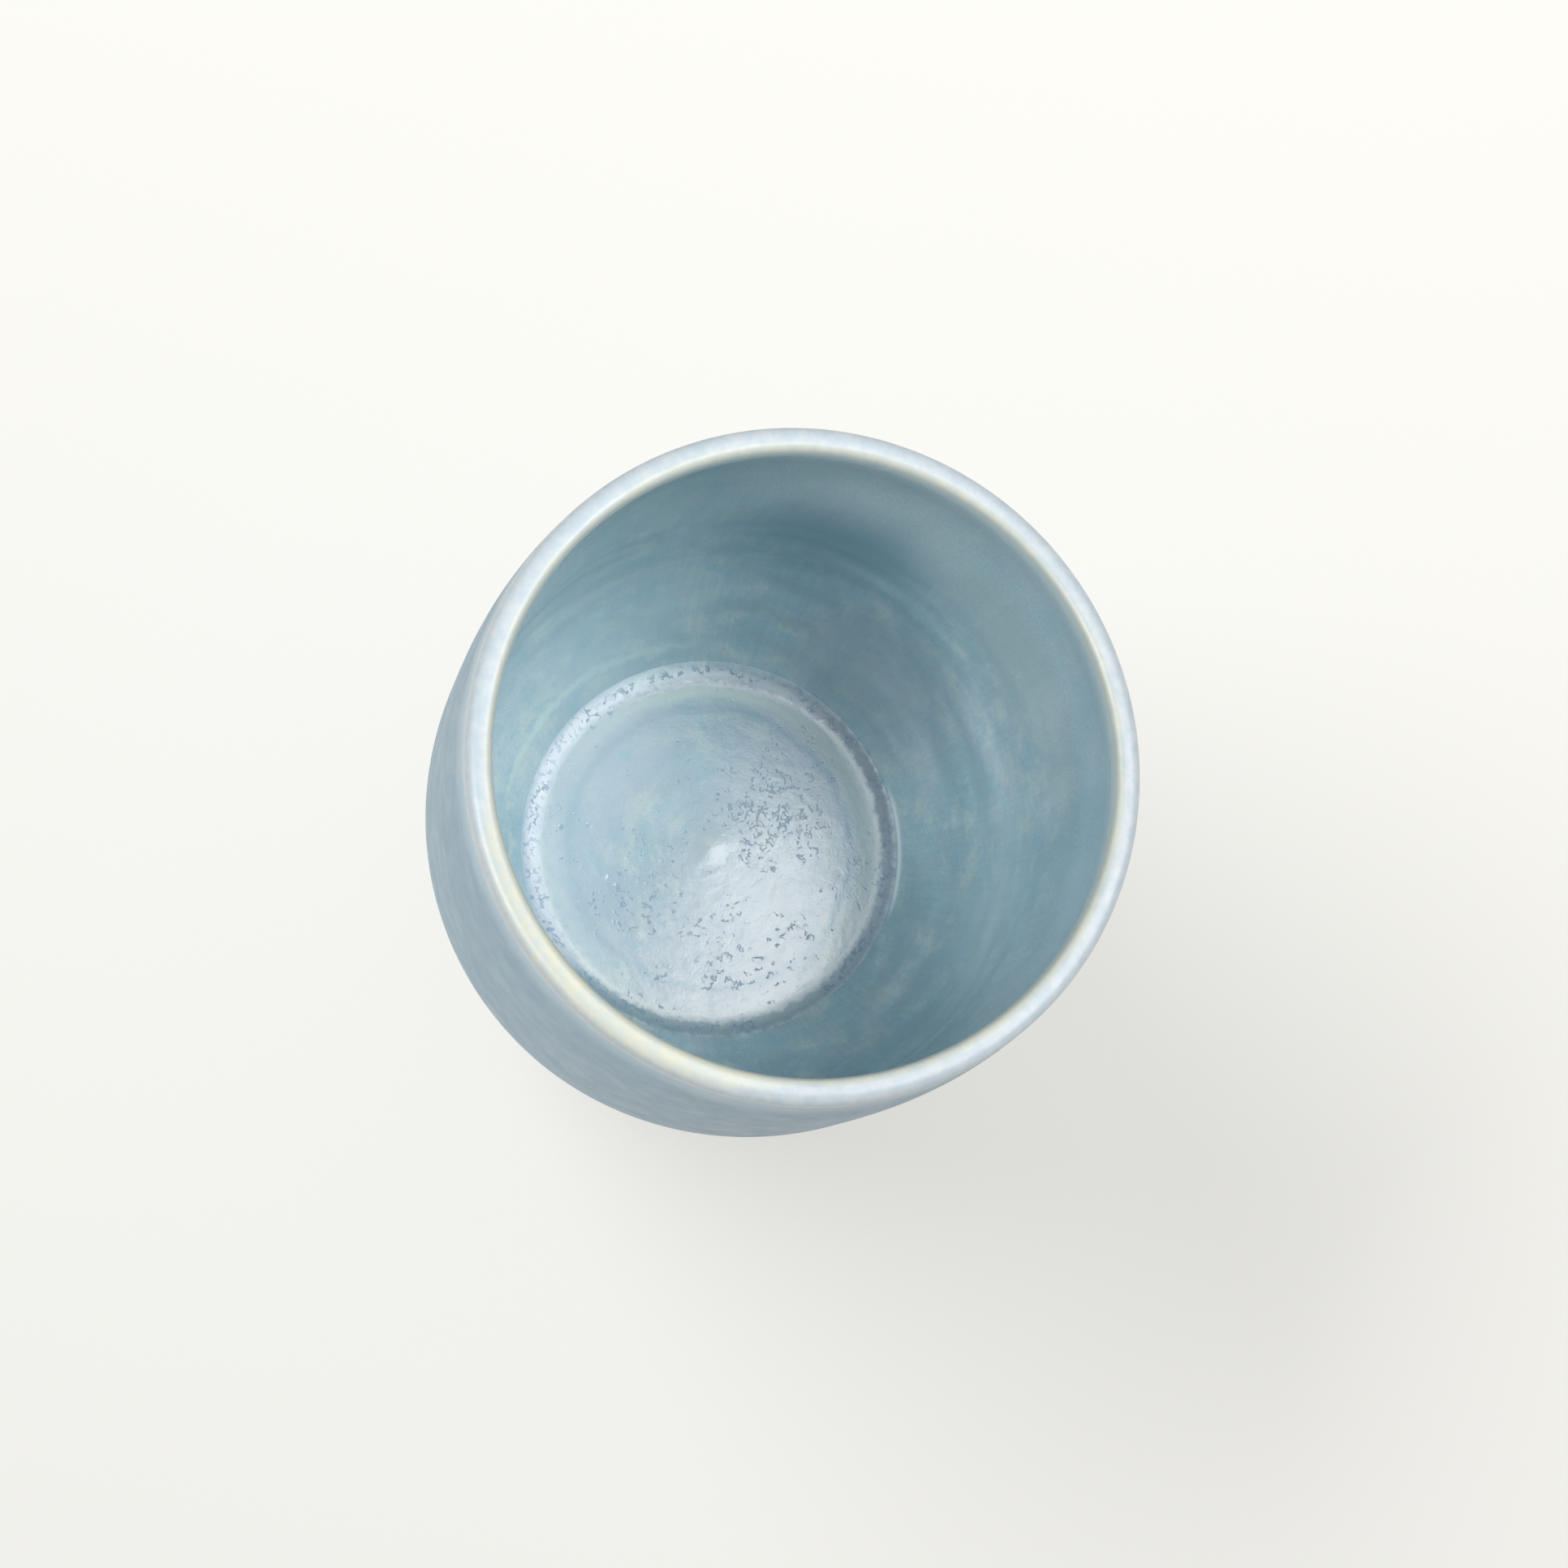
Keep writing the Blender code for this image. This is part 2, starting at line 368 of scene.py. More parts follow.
def turned(name, section, marks, finish, **sizes):
    """A piece turned about Z from a section and the values marked along it."""
    mesh = bpy.data.meshes.new(name)
    mesh.from_pydata([(place.x, 0, place.y) for place in section], [], [])
    for mark in ("run", "flow", "thin", "pool", "flat", "fingers", "edge"):
        values = marks.get(mark, [0.0] * len(section))
        mesh.attributes.new(mark, "FLOAT", "POINT").data.foreach_set("value", values)
    across = [part for index in range(len(section)) for part in sideways(section, index).to_3d().xzy]
    mesh.attributes.new("across", "FLOAT_VECTOR", "POINT").data.foreach_set("vector", across)
    piece = bpy.data.objects.new(name, mesh)
    bpy.context.scene.collection.objects.link(piece)
    modifier = piece.modifiers.new("wheel", "NODES")
    modifier.node_group = WHEEL
    sizes = {
        "Steps Round": STEPS_ROUND,
        "Wobble": WHEEL_WOBBLE,
        "Finger Depth": 0.0,
        "Finger Pitch": 1.0,
        "Edge Wander": 0.0,
        "Seed": 3.0,
        "Finish": finish,
        **sizes,
    }
    for socket in WHEEL.interface.items_tree:
        if socket.in_out == "INPUT" and socket.name in sizes:
            modifier[socket.identifier] = sizes[socket.name]
    graph = bpy.context.evaluated_depsgraph_get()
    made = bpy.data.meshes.new_from_object(
        piece.evaluated_get(graph), preserve_all_data_layers=True, depsgraph=graph
    )
    piece.modifiers.remove(modifier)
    piece.data = made
    made.materials.pop(index=0)
    made.name = name
    made.set_sharp_from_angle(angle=SHARP_ANGLE)
    bpy.data.meshes.remove(mesh)
    return piece


def noise(tree, vector, scale, detail=2.0, rough=0.5):
    """A noise value from 0 to 1 at points in space."""
    node = add(
        tree,
        "ShaderNodeTexNoise",
        {"Vector": vector, "Scale": scale, "Detail": detail, "Roughness": rough},
    )
    return node.outputs[0]


def step_between(tree, value, low, high, bottom=0.0, top=1.0):
    """A smooth step from bottom to top as the value goes from low to high."""
    node = add(
        tree,
        "ShaderNodeMapRange",
        {"Value": value, "From Min": low, "From Max": high, "To Min": bottom, "To Max": top},
        interpolation_type="SMOOTHSTEP",
    )
    return node.outputs["Result"]


def blend(tree, share, first, second, kind="MIX"):
    """Two colours mixed by a share."""
    node = tree.nodes.new("ShaderNodeMix")
    node.data_type = "RGBA"
    node.blend_type = kind
    for socket, value in ((node.inputs[0], share), (node.inputs[6], first), (node.inputs[7], second)):
        if isinstance(value, bpy.types.NodeSocket):
            tree.links.new(value, socket)
        else:
            socket.default_value = value
    return node.outputs[2]


def grey(tree, level):
    """A grey of a level that varies, to multiply a colour by."""
    node = add(tree, "ShaderNodeCombineColor", {"Red": level, "Green": level, "Blue": level})
    return node.outputs["Color"]


def finish(name):
    """An empty material, with its nodes and its shader."""
    material = bpy.data.materials.new(name)
    material.use_nodes = True
    tree = material.node_tree
    return material, tree, tree.nodes["Principled BSDF"]


def bare_clay():
    """Fired buff clay: sandy, with iron specks and the fine lines of the trimming tool."""
    material, tree, shader = finish("bare_stoneware")
    at = add(tree, "ShaderNodeTexCoord").outputs["Object"]
    split = add(tree, "ShaderNodeSeparateXYZ", {"Vector": at}).outputs
    flat = add(tree, "ShaderNodeCombineXYZ", {"X": split["X"], "Y": split["Y"]}).outputs["Vector"]
    reach = vector_calc(tree, "LENGTH", flat)
    cloud = noise(tree, at, 90, 3)
    sand = noise(tree, at, 2600, 2, 0.7)
    speck = step_between(tree, noise(tree, at, 1150, 1), 0.68, 0.74)
    colour = blend(tree, cloud, (0.60, 0.50, 0.39, 1), (0.50, 0.40, 0.30, 1))
    colour = blend(tree, calc(tree, "MULTIPLY", sand, 0.35), colour, (0.72, 0.64, 0.54, 1))
    colour = blend(tree, calc(tree, "MULTIPLY", speck, 0.75), colour, (0.13, 0.075, 0.045, 1))
    tree.links.new(colour, shader.inputs["Base Color"])
    tree.links.new(step_between(tree, sand, 0.3, 0.7, 0.72, 0.92), shader.inputs["Roughness"])
    lines = calc(tree, "SINE", calc(tree, "MULTIPLY", calc(tree, "ADD", reach, split["Z"]), 9000))
    relief = calc(tree, "ADD", calc(tree, "MULTIPLY", lines, 0.12), sand)
    bump = add(tree, "ShaderNodeBump", {"Height": relief, "Strength": 0.5, "Distance": 0.00012})
    tree.links.new(bump.outputs["Normal"], shader.inputs["Normal"])
    return material


inside = floor_section() + inner_wall_section()
lip = lip_section()
outside = outer_wall_section()
body_section = inside[::CLAY_SKIP] + lip[::CLAY_SKIP] + outside + foot_section()
clay_body = turned("clay_body", body_section, {}, bare_clay(), **{"Steps Round": CLAY_STEPS_ROUND})
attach(clay_body, "root")
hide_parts("stoneware_body")

# Liner glaze
# A blue-green satin glaze, poured in and out again, so it lies over the whole inside and a little way over
# the lip. It pools in the cove, pits as it cools, and breaks to cream where it runs thin on the lip.
GLAZE_GAP = 0.00015
GLAZE_THICKNESS = 0.00045
LIP_WRAP = 0.0024
FINGER_PITCH = 0.0072
FINGER_DEPTH = 0.00032
FINGERS_START = 0.08
FINGERS_END = 0.62
FINGERS_FADE = 0.30
HANG_HEIGHT = 0.030
HANG_SPAN = 0.025
HANG_SHARE = 0.65
PALE_RING = 0.0032
RING_SHARE = 0.9
PIP_SHARE = 0.85
POOL_MIDDLE = FLOOR_RADIUS - 0.0017
BACK_SKIP = 4
NO_PITS = -3.0
GLAZE_IOR = 1.62


def offset(section, distance):
    """A section moved away from the clay by a distance."""
    return [place + distance * sideways(section, index) for index, place in enumerate(section)]


def crossing(section, height):
    """Where a falling section passes a height."""
    for upper, lower in zip(section, section[1:]):
        if upper.y >= height > lower.y:
            return upper.lerp(lower, (upper.y - height) / (upper.y - lower.y))
    raise ValueError(f"the section never passes {height}")


def lengths(section, start=0.0):
    """How far along a section each of its points is."""
    run = [start]
    for before, after in zip(section, section[1:]):
        run.append(run[-1] + (after - before).length)
    return run


def bump_at(places, middle, width):
    """A smooth hill of height 1 on a list of places."""
    return [
        swell(0.5 + (place - middle) / width) if abs(place - middle) < width / 2 else 0
        for place in places
    ]


def fired_glaze():
    """Shader nodes for what both glazes do as they melt: mottle, streak along the wheel's lines, and pit."""
    tree = bpy.data.node_groups.new("fired_glaze", "ShaderNodeTree")
    given = {
        "Run": "Float",
        "Body": "Color",
        "Deep": "Color",
        "Pale Fleck": "Color",
        "Blue Fleck": "Color",
        "Flecks": "Float",
        "Streaks": "Float",
        "Pits": "Float",
        "Smoothest": "Float",
        "Roughest": "Float",
    }
    sockets(tree, "INPUT", given)
    sockets(tree, "OUTPUT", {"Colour": "Color", "Pitting": "Float", "Roughness": "Float", "Height": "Float"})
    given = tree.nodes.new("NodeGroupInput").outputs
    at = add(tree, "ShaderNodeTexCoord").outputs["Object"]
    split = add(tree, "ShaderNodeSeparateXYZ", {"Vector": at}).outputs

    def stretched(up):
        """Places drawn out along the wheel's lines, since they change faster up the cup than round it."""
        rise = calc(tree, "MULTIPLY", given["Run"], up)
        node = add(tree, "ShaderNodeCombineXYZ", {"X": split["X"], "Y": split["Y"], "Z": rise})
        return node.outputs["Vector"]

    flat = add(tree, "ShaderNodeCombineXYZ", {"X": split["X"], "Y": split["Y"]}).outputs["Vector"]
    facing = vector_calc(tree, "MULTIPLY", vector_calc(tree, "NORMALIZE", flat), (0.04, 0.04, 0.04))
    drop = add(tree, "ShaderNodeCombineXYZ", {"Z": calc(tree, "MULTIPLY", given["Run"], 0.14)})
    hung = vector_calc(tree, "ADD", facing, drop.outputs["Vector"])

    clouds = step_between(tree, noise(tree, stretched(1.3), 55, 3), 0.32, 0.68)
    colour = blend(tree, clouds, given["Deep"], given["Body"])
    pale = step_between(tree, noise(tree, stretched(1.2), 170, 4, 0.65), 0.46, 0.68)
    colour = blend(tree, calc(tree, "MULTIPLY", pale, given["Flecks"]), colour, given["Pale Fleck"])
    blue = step_between(tree, noise(tree, stretched(1.1), 230, 4, 0.65), 0.50, 0.68)
    colour = blend(tree, calc(tree, "MULTIPLY", blue, given["Flecks"]), colour, given["Blue Fleck"])

    rings = calc(tree, "SUBTRACT", noise(tree, stretched(2.5), 160, 2, 0.5), 0.5)
    tears = calc(tree, "SUBTRACT", noise(tree, hung, 1100, 2, 0.5), 0.5)
    grain = calc(tree, "SUBTRACT", noise(tree, stretched(1), 3200, 2, 0.6), 0.5)
    shade = calc(tree, "MULTIPLY", calc(tree, "MULTIPLY_ADD", rings, 0.8, tears), given["Streaks"])
    shade = calc(tree, "ADD", calc(tree, "MULTIPLY_ADD", grain, 0.40, shade), 1)
    colour = blend(tree, 1.0, colour, grey(tree, shade), "MULTIPLY")

    ragged = noise(tree, at, 850, 2, 0.6)
    seam = calc(tree, "ABSOLUTE", calc(tree, "SUBTRACT", ragged, 0.5))
    cracks = step_between(tree, seam, 0.020, 0.052, 1, 0)
    crowding = calc(tree, "MULTIPLY", calc(tree, "SUBTRACT", given["Pits"], 1), 0.12)
    broken = step_between(tree, calc(tree, "ADD", noise(tree, at, 950, 1), crowding), 0.50, 0.57)
    patches = step_between(tree, calc(tree, "ADD", noise(tree, at, 210, 2), crowding), 0.38, 0.50)
    pits = calc(tree, "MULTIPLY", calc(tree, "MULTIPLY", cracks, broken), patches)

    satin = step_between(tree, noise(tree, at, 260, 3, 0.6), 0.3, 0.7)
    satin = add(
        tree,
        "ShaderNodeMapRange",
        {"Value": satin, "To Min": given["Smoothest"], "To Max": given["Roughest"]},
    ).outputs["Result"]
    satin = calc(tree, "MULTIPLY_ADD", pits, 0.2, satin)

    waves = noise(tree, stretched(1), 520, 2, 0.5)
    height = calc(tree, "MULTIPLY_ADD", grain, 0.20, calc(tree, "MULTIPLY", waves, 0.5))
    height = calc(tree, "MULTIPLY_ADD", pits, -0.75, height)

    made = tree.nodes.new("NodeGroupOutput")
    tree.links.new(colour, made.inputs["Colour"])
    tree.links.new(pits, made.inputs["Pitting"])
    tree.links.new(satin, made.inputs["Roughness"])
    tree.links.new(height, made.inputs["Height"])
    return tree


FIRED_GLAZE = fired_glaze()


def glaze_coat(name, marked, **values):
    """A glaze material: the fired pattern, the values marked along the section, and the shader."""
    material, tree, shader = finish(name)
    marks = {}
    for mark in marked:
        marks[mark] = add(tree, "ShaderNodeAttribute", attribute_name=mark).outputs["Fac"]
    pattern = add(tree, "ShaderNodeGroup", node_tree=FIRED_GLAZE)
    tree.links.new(marks["flow"], pattern.inputs["Run"])
    for socket, value in values.items():
        pattern.inputs[socket.replace("_", " ").title()].default_value = value
    bump = add(
        tree,
        "ShaderNodeBump",
        {"Height": pattern.outputs["Height"], "Strength": 0.2, "Distance": 0.0002},
    )
    tree.links.new(bump.outputs["Normal"], shader.inputs["Normal"])
    shader.inputs["IOR"].default_value = GLAZE_IOR
    return material, tree, shader, marks, pattern, bump


seam_height = CUP_HEIGHT - LIP_WRAP
crest = max(range(len(lip)), key=lambda index: lip[index].y)
falling = lip[crest:] + outside
over_lip = [place for place in falling if place.y > seam_height] + [crossing(falling, seam_height)]
lined = inside + lip[:crest] + over_lip
liner_face = offset(lined, GLAZE_GAP + GLAZE_THICKNESS)
liner_run = lengths(liner_face)
liner_back = offset(lined, GLAZE_GAP)[::BACK_SKIP]
liner_back[-1] = offset(lined, GLAZE_GAP)[-1]
liner_section = liner_face + liner_back[::-1]
radii = [place.x for place in liner_face]
floor_count = len(floor_section())
tail = [0.0] * (len(liner_section) - len(liner_face))
on_floor = [1.0 if index < floor_count else 0.0 for index in range(len(liner_face))]
ring_hill = bump_at(radii, COVE_START - 0.4 * PALE_RING, 1.4 * PALE_RING)
on_ring = [RING_SHARE * share for share in ring_hill]
on_pip = [PIP_SHARE * share for share in bump_at(radii, 0, 2 * PIP_RADIUS)]
thinned = [here * max(shares) for here, *shares in zip(on_floor, on_ring, on_pip)]
in_cove = bump_at(radii, POOL_MIDDLE, 0.9 * COVE_WIDTH)
pooled = [here * share for here, share in zip(on_floor, in_cove)]
flow = [0.0]
for before, after in zip(liner_face, liner_face[1:]):
    hang = swell(0.5 * max(0, min(1, (after.y - HANG_HEIGHT) / HANG_SPAN)))
    flow.append(flow[-1] + (1 - HANG_SHARE * hang) * (after - before).length)
wall_start = liner_run[floor_count]
wall_end = liner_run[floor_count + len(inner_wall_section())]
touched = []
for run in liner_run:
    share = (run - wall_start) / (wall_end - wall_start)
    touched.append(max(0.0, min(1.0, share / FINGERS_START, (FINGERS_END - share) / FINGERS_FADE)))
crest_run = liner_run[len(inside) + crest]
liner_marks = {
    "run": liner_run + tail,
    "flow": flow + tail,
    "thin": thinned + tail,
    "pool": pooled + tail,
    "flat": on_floor + tail,
    "fingers": touched + tail,
}


def liner_finish():
    """The liner: teal and grey-blue, with a cream break inside the lip and an icy band over it."""
    material, tree, shader, marks, pattern, bump = glaze_coat(
        "liner_satin",
        ("run", "flow", "thin", "pool", "flat", "furrow"),
        body=(0.47, 0.60, 0.655, 1),
        deep=(0.335, 0.485, 0.55, 1),
        pale_fleck=(0.585, 0.69, 0.64, 1),
        blue_fleck=(0.285, 0.50, 0.61, 1),
        smoothest=0.10,
        roughest=0.16,
    )
    at = add(tree, "ShaderNodeTexCoord").outputs["Object"]
    flat = vector_calc(tree, "MULTIPLY", at, (1, 1, 0))
    reach = vector_calc(tree, "LENGTH", flat)
    facing = vector_calc(tree, "NORMALIZE", flat)
    from_crest = calc(tree, "SUBTRACT", marks["run"], crest_run)
    on_floor = marks["flat"]

    def times(*values):
        """Values multiplied together."""
        product = values[0]
        for value in values[1:]:
            product = calc(tree, "MULTIPLY", product, value)
        return product

    def without(share):
        """What a share leaves of 1."""
        return calc(tree, "SUBTRACT", 1, share)

    def side(bearing, low, high, bottom=0.0, top=1.0):
        """A value that changes round the cup, from bottom to top towards a bearing in degrees."""
        turn = math.radians(bearing)
        towards = vector_calc(tree, "DOT_PRODUCT", facing, (math.cos(turn), math.sin(turn), 0))
        return step_between(tree, towards, low, high, bottom, top)

    def near(middle, inner, outer):
        """How near a place is: 1 within one distance of it, and 0 beyond another."""
        return step_between(tree, vector_calc(tree, "DISTANCE", at, middle), inner, outer, 1, 0)

    def band(value, start, full, fade, end):
        """A soft band, which rises from its start till it is full, and then fades to its end."""
        return times(step_between(tree, value, start, full), step_between(tree, value, fade, end, 1, 0))

    def drift(vector, scale, detail, rough=0.5):
        """A noise that goes either way from 0."""
        return calc(tree, "SUBTRACT", noise(tree, vector, scale, detail, rough), 0.5)

    def layered(colour, *layers):
        """A colour with others laid over it in turn, each by its own share."""
        for share, tint, *kind in layers:
            colour = blend(tree, share, colour, tint, *kind)
        return colour

    # Pattern: pits on the floor's dull half, which also carries a painted highlight, in three patches and in
    # the cove, and streaks low on the wall
    dull_and_highlit_side = vector_calc(tree, "DOT_PRODUCT", at, (0.94, 0.34, 0.0))
    dull_and_highlit = times(step_between(tree, dull_and_highlit_side, -0.008, 0.006), on_floor)
    pitted = calc(tree, "MULTIPLY_ADD", dull_and_highlit, 0.25, 0.15)
    patches = (
        ((0.003, 0.010, FLOOR_TOP), 0.014, 1.3),
        ((0.0125, -0.011, FLOOR_TOP), 0.011, 0.7),
        ((-0.0023, -0.0143, FLOOR_TOP), 0.009, 0.9),
    )
    for middle, width, most in patches:
        pitted = calc(tree, "MAXIMUM", pitted, times(near(middle, 0.002, width), most))
    pooled = step_between(tree, marks["pool"], 0.5, 0.9, 0, 0.9)
    pitted = calc(tree, "ADD", times(calc(tree, "SUBTRACT", pitted, NO_PITS), on_floor), NO_PITS)
    tree.links.new(calc(tree, "ADD", pooled, pitted), pattern.inputs["Pits"])
    high = step_between(tree, from_crest, -0.045, -0.020)
    low = without(high)
    tree.links.new(calc(tree, "MULTIPLY_ADD", low, 0.36, 0.19), pattern.inputs["Flecks"])
    low_wall = times(low, without(on_floor))
    streaks = times(calc(tree, "MULTIPLY_ADD", low_wall, 0.18, 0.06), side(214, 0.3, 0.9, 1, 0.3))
    tree.links.new(streaks, pattern.inputs["Streaks"])

    # Floor: pale where the glaze is thin, deeper on one side, dull lavender with a painted highlight on
    # another, with a dark line round it
    thin = times(marks["thin"], side(139, 0.2, 0.9, 0.3, 1))
    deeper = times(step_between(tree, reach, 0.010, 0.016), side(219, 0.3, 0.9), on_floor)
    bluer = near((-0.006, 0.007, FLOOR_TOP), 0.002, 0.013)
    sage = times(band(reach, 0.0211, 0.0230, 0.0230, 0.0248), on_floor, side(49, 0.3, 0.95))
    strayed = calc(tree, "MULTIPLY_ADD", drift(at, 260, 2), 0.0014, reach)
    line = times(band(strayed, 0.0197, 0.0209, 0.0209, 0.0219), on_floor, side(100, -0.6, 0.9, 0.5, 0.75))
    colour = layered(
        pattern.outputs["Colour"],
        (thin, (0.63, 0.735, 0.70, 1)),
        (times(deeper, 0.45), (0.38, 0.50, 0.60, 1)),
        (times(bluer, 0.35), (0.37, 0.57, 0.67, 1)),
        # Dull lavender glaze and painted highlight: the floor's half towards the lamp is painted pale where
        # the lamp's reflection falls
        (times(dull_and_highlit, 0.42), (0.62, 0.61, 0.67, 1)),
        (sage, (0.81, 0.895, 0.855, 1), "MULTIPLY"),
        (line, (0.32, 0.46, 0.55, 1)),
    )

    # Cove: a pale line at its foot, slate on one side and haze on the other, with torn edges and dots; the
    # line and the haze are partly painted highlight, the slate partly painted shade, and a painted shade and
    # a painted glint lie beyond
    torn = calc(tree, "ADD", reach, side(134, 0.7, 1, 0, 0.0009))
    torn = calc(tree, "MULTIPLY_ADD", drift(at, 700, 3, 0.65), 0.0018, torn)
    in_cove = band(torn, 0.0250, 0.0260, 0.0271, 0.0281)
    eased = calc(tree, "SUBTRACT", torn, side(129, 0.7, 0.97, 0, 0.0007))
    # Pale line at the cove's foot: thin glaze, with a painted highlight that turns it near white on one side
    pale_line_and_highlight = times(side(219, 0.5, 0.95, 0.75, 0.35), side(110, 0.3, 0.9, 1, 1.33))
    pale_line_and_highlight = times(pale_line_and_highlight, band(eased, 0.0241, 0.0249, 0.0249, 0.0257))
    line_and_highlight_white = blend(tree, side(129, 0.7, 0.97), (0.66, 0.72, 0.70, 1), (0.88, 0.90, 0.93, 1))
    # Slate: glaze pooled in the cove, darkened further by painted shade on one side
    shaded_side = side(4, -0.3, 0.1)
    slate_and_shade = blend(tree, side(95, 0.5, 0.98), (0.235, 0.33, 0.41, 1), (0.125, 0.19, 0.25, 1))
    slate_and_shade = blend(tree, side(319, 0.4, 0.95), slate_and_shade, (0.20, 0.32, 0.37, 1))
    shaded = times(in_cove, step_between(tree, torn, 0.0253, 0.0261), shaded_side)
    narrowed = calc(tree, "ADD", torn, side(110, 0.3, 0.9, 0, 0.0016))
    # Haze: a dull lavender glaze with a painted highlight over it
    haze_and_highlight = times(in_cove, without(shaded_side), step_between(tree, narrowed, 0.0271, 0.0281, 1, 0))
    # Painted shade: the outer part of the cove darkened on one side
    painted_shade_beyond = times(band(torn, 0.0256, 0.0264, 0.0278, 0.0288), side(114, 0.6, 0.97), without(shaded_side))
    # Painted highlight: a thin bright glint at the foot of the wall on one side
    glint = times(band(reach, 0.0278, 0.0282, 0.0282, 0.0287), side(48, 0.92, 0.985))
    ledge = times(band(torn, 0.0301, 0.0309, 0.0309, 0.0317), side(180, 0.7, 0.97))
    dots = times(
        step_between(tree, noise(tree, at, 1300, 1), 0.56, 0.62),
        calc(tree, "MULTIPLY_ADD", in_cove, 0.15, haze_and_highlight),
        side(114, 0.5, 0.95, 1, 0.35),
    )
    pits = calc(tree, "MAXIMUM", times(pattern.outputs["Pitting"], on_floor), dots)
    colour = layered(
        colour,
        (pale_line_and_highlight, line_and_highlight_white),
        (times(shaded, 0.88), slate_and_shade),
        (times(haze_and_highlight, side(139, -0.2, 0.8, 0.36, 0.5)), (0.61, 0.62, 0.675, 1)),
        (painted_shade_beyond, (0.61, 0.66, 0.71, 1), "MULTIPLY"),
        (times(glint, 0.95), (0.80, 0.87, 0.90, 1)),
        (times(ledge, 0.8), (0.57, 0.72, 0.70, 1)),
        (times(pits, 0.56), (0.14, 0.27, 0.43, 1)),
    )

    # Wall: glaze pools raggedly in the furrows, with dark and pale patches, one of them partly a painted
    # shadow, painted light near the rim on one side, and a painted shade under the lip
    hang = vector_calc(tree, "MULTIPLY", at, (1, 1, 0.3))
    sunk = calc(tree, "MULTIPLY_ADD", drift(hang, 500, 3, 0.6), 0.9, marks["furrow"])
    furrows = times(step_between(tree, sunk, 0.25, 0.75), side(229, 0.3, 0.9, 0.5, 0.2))
    # Painted light: the upper wall is made lighter on one side near the rim
    lit = times(step_between(tree, from_crest, -0.026, -0.016), side(58, 0.5, 0.95))
    # Painted shade: a darker band on the wall just under the lip
    shade_under_lip = step_between(tree, from_crest, -0.0100, -0.0074, 0, 0.15)
    over = calc(tree, "ADD", from_crest, side(49, -0.6, 0.2, 0, 0.0008))
    colour = layered(
        colour,
        (furrows, (0.30, 0.43, 0.50, 1)),
        # Partly darker glaze, partly a painted shadow of the rim: a dark patch high on the far wall
        (times(near((-0.019, 0.035, 0.043), 0.003, 0.025), 0.9), (0.175, 0.305, 0.38, 1)),
        (times(near((-0.002, 0.035, 0.017), 0.006, 0.022), 0.55), (0.20, 0.28, 0.32, 1)),
        (times(near((-0.033, 0.009, 0.016), 0.003, 0.024), 0.45), (0.53, 0.70, 0.76, 1)),
        (times(near((0.036, 0.018, 0.032), 0.004, 0.024), 0.35), (0.50, 0.67, 0.73, 1)),
        (times(near((0.008, 0.040, 0.052), 0.004, 0.024), 0.35), (0.50, 0.60, 0.60, 1)),
        (times(high, side(119, 0.2, 0.8)), (1, 1, 0.965, 1), "MULTIPLY"),
        (lit, (1.13, 1.14, 1.17, 1), "MULTIPLY"),
        (shade_under_lip, (0.36, 0.44, 0.52, 1)),
        (step_between(tree, over, -0.0072, -0.0020, 0, 0.95), (0.57, 0.69, 0.71, 1)),
    )

    # Lip: a cream break, wider on the side the glaze was poured from, and ice over the rest, painted lighter
    # down its outer side and darker on one side
    mottle = step_between(tree, noise(tree, at, 650, 3, 0.65), 0.34, 0.66)
    pour = side(274, 0.72, 0.98)
    warm = blend(tree, pour, (0.555, 0.555, 0.475, 1), (0.565, 0.545, 0.415, 1))
    warm = blend(tree, mottle, (0.475, 0.52, 0.48, 1), warm)
    cream = step_between(tree, from_crest, -0.0026, -0.0014, 0, 0.85)
    wander = times(drift(at, 160, 2), 0.0012)
    edge = calc(tree, "ADD", calc(tree, "MULTIPLY_ADD", pour, 0.0013, -0.0005), wander)
    soft = step_between(tree, pour, 0, 1, 0.0006, 0.0026)
    icy = step_between(tree, calc(tree, "SUBTRACT", from_crest, edge), -0.0004, soft)
    # Painted light and shade: the ice is painted lighter down the lip's outer side and darker on one side
    rise = calc(tree, "SUBTRACT", side(4, -0.5, 0.8, 0.14, 0.30), side(259, 0.3, 0.9, 0, 0.1))
    rise = times(step_between(tree, from_crest, 0.0008, 0.0040), rise)
    level = calc(tree, "ADD", rise, side(4, -1, 1, 1.0, 0.82))
    ice = blend(tree, mottle, (0.46, 0.545, 0.60, 1), (0.54, 0.60, 0.635, 1))
    ice = blend(tree, 1.0, ice, grey(tree, level), "MULTIPLY")
    tree.links.new(layered(colour, (cream, warm), (icy, ice)), shader.inputs["Base Color"])

    # Shine: duller on the lip and beside the cove, with the relief fading up the wall
    by_cove = times(step_between(tree, reach, COVE_START - 0.0010, COVE_START + 0.0006), on_floor)
    satin = step_between(tree, from_crest, -0.0060, -0.0020, 0, 0.28)
    satin = calc(tree, "MULTIPLY_ADD", by_cove, 0.16, satin)
    tree.links.new(calc(tree, "ADD", pattern.outputs["Roughness"], satin), shader.inputs["Roughness"])
    relief = times(pattern.outputs["Height"], step_between(tree, high, 0, 1, 1, 0.11))
    tree.links.new(relief, bump.inputs["Height"])
    bump.inputs["Strength"].default_value = 0.35
    return material


liner_coat = turned(
    "liner_coat",
    liner_section,
    liner_marks,
    liner_finish(),
    **{"Finger Depth": FINGER_DEPTH, "Finger Pitch": FINGER_PITCH},
)
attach(liner_coat, "root")
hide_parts("liner_glaze")

